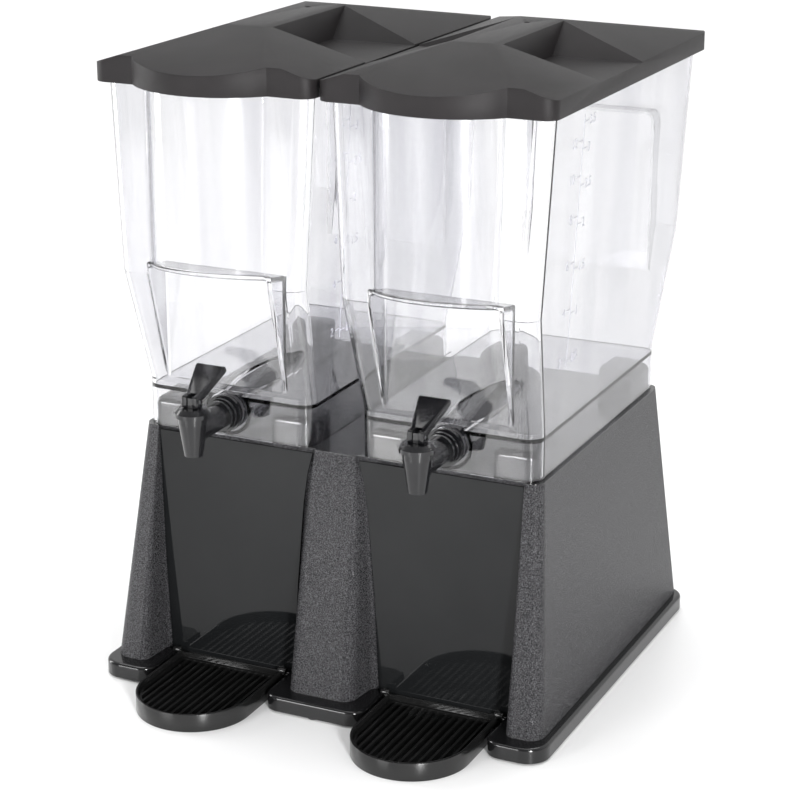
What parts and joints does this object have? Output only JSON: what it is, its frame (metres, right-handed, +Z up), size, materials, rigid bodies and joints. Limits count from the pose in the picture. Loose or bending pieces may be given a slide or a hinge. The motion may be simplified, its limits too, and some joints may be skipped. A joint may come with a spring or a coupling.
{
  "type": "twin beverage dispenser",
  "caption": "Countertop drink dispenser with side-by-side clear lift-off reservoirs, hipped lids, lever faucets and slide-out drip trays on a flared black base.",
  "frame": {"origin": "on the counter, under the middle of the whole object's box", "axes": "+X to the right as the user faces the faucets, +Y towards the back, +Z up"},
  "size_m": [0.424, 0.462, 0.5745],
  "materials": {
    "base_textured": "fine grained black, satin sparkle",
    "panel_gloss": "smooth glossy dark grey",
    "pad_rubber": "matte",
    "tray_gloss": "glossy black, satin outer wall",
    "clear_polycarbonate": "clear moulded plastic with a faint violet-grey tint",
    "lid_plastic": "finely textured matte, smoother side band",
    "faucet_plastic": "glossy black",
    "silicone": "satin",
    "pin_steel": "satin"
  },
  "bodies": {
    "base": {"base_shell": "base_textured", "foot_pads": "pad_rubber", "splash_panel_left": "panel_gloss", "splash_panel_right": "panel_gloss"},
    "reservoir_left": {"reservoir_left": "clear_polycarbonate", "faucet_body_left": "faucet_plastic", "faucet_bonnet_left": "faucet_plastic", "shank_nut_left": "faucet_plastic", "outer_washer_left": "silicone", "inner_washer_left": "silicone"},
    "lid_left": {"lid_left": "lid_plastic"},
    "stem_left": {"valve_stem_left": "faucet_plastic", "seat_cup_left": "silicone"},
    "lever_left": {"faucet_lever_left": "faucet_plastic", "lever_pin_left": "pin_steel"},
    "tray_left": {"drip_tray_left": "tray_gloss"},
    "grate_left": {"drip_grate_left": "tray_gloss"},
    "reservoir_right": {"reservoir_right": "clear_polycarbonate", "faucet_body_right": "faucet_plastic", "faucet_bonnet_right": "faucet_plastic", "shank_nut_right": "faucet_plastic", "outer_washer_right": "silicone", "inner_washer_right": "silicone"},
    "lid_right": {"lid_right": "lid_plastic"},
    "stem_right": {"valve_stem_right": "faucet_plastic", "seat_cup_right": "silicone"},
    "lever_right": {"faucet_lever_right": "faucet_plastic", "lever_pin_right": "pin_steel"},
    "tray_right": {"drip_tray_right": "tray_gloss"},
    "grate_right": {"drip_grate_right": "tray_gloss"}
  },
  "joints": [
    {"name": "reservoir_lift_left", "type": "slide", "parent": "base", "child": "reservoir_left", "axis": [0, 0, 1], "range_m": [0, 0.1]},
    {"name": "lid_lift_left", "type": "slide", "parent": "reservoir_left", "child": "lid_left", "axis": [0, 0, 1], "range_m": [0, 0.08]},
    {"name": "stem_lift_left", "type": "slide", "parent": "reservoir_left", "child": "stem_left", "axis": [0, 0, 1], "range_m": [0, 0.003]},
    {"name": "lever_pull_left", "type": "hinge", "parent": "stem_left", "child": "lever_left", "pos_m": [-0.1035, -0.1695, 0.276], "axis": [1, 0, 0], "range_deg": [0, 50], "stiffness_Nm_per_rad": 0.36, "springref_deg": -11.46},
    {"name": "tray_pull_left", "type": "slide", "parent": "base", "child": "tray_left", "axis": [0, -1, 0], "range_m": [0, 0.12]},
    {"name": "grate_lift_left", "type": "slide", "parent": "tray_left", "child": "grate_left", "axis": [0, 0, 1], "range_m": [0, 0.03]},
    {"name": "reservoir_lift_right", "type": "slide", "parent": "base", "child": "reservoir_right", "axis": [0, 0, 1], "range_m": [0, 0.1]},
    {"name": "lid_lift_right", "type": "slide", "parent": "reservoir_right", "child": "lid_right", "axis": [0, 0, 1], "range_m": [0, 0.08]},
    {"name": "stem_lift_right", "type": "slide", "parent": "reservoir_right", "child": "stem_right", "axis": [0, 0, 1], "range_m": [0, 0.003]},
    {"name": "lever_pull_right", "type": "hinge", "parent": "stem_right", "child": "lever_right", "pos_m": [0.1035, -0.1695, 0.276], "axis": [1, 0, 0], "range_deg": [0, 50], "stiffness_Nm_per_rad": 0.36, "springref_deg": -11.46},
    {"name": "tray_pull_right", "type": "slide", "parent": "base", "child": "tray_right", "axis": [0, -1, 0], "range_m": [0, 0.12]},
    {"name": "grate_lift_right", "type": "slide", "parent": "tray_right", "child": "grate_right", "axis": [0, 0, 1], "range_m": [0, 0.03]}
  ],
  "couplings": [
    {"joint": "stem_lift_left", "follows": "lever_pull_left", "m_per_rad": 0.0034},
    {"joint": "stem_lift_right", "follows": "lever_pull_right", "m_per_rad": 0.0034}
  ]
}
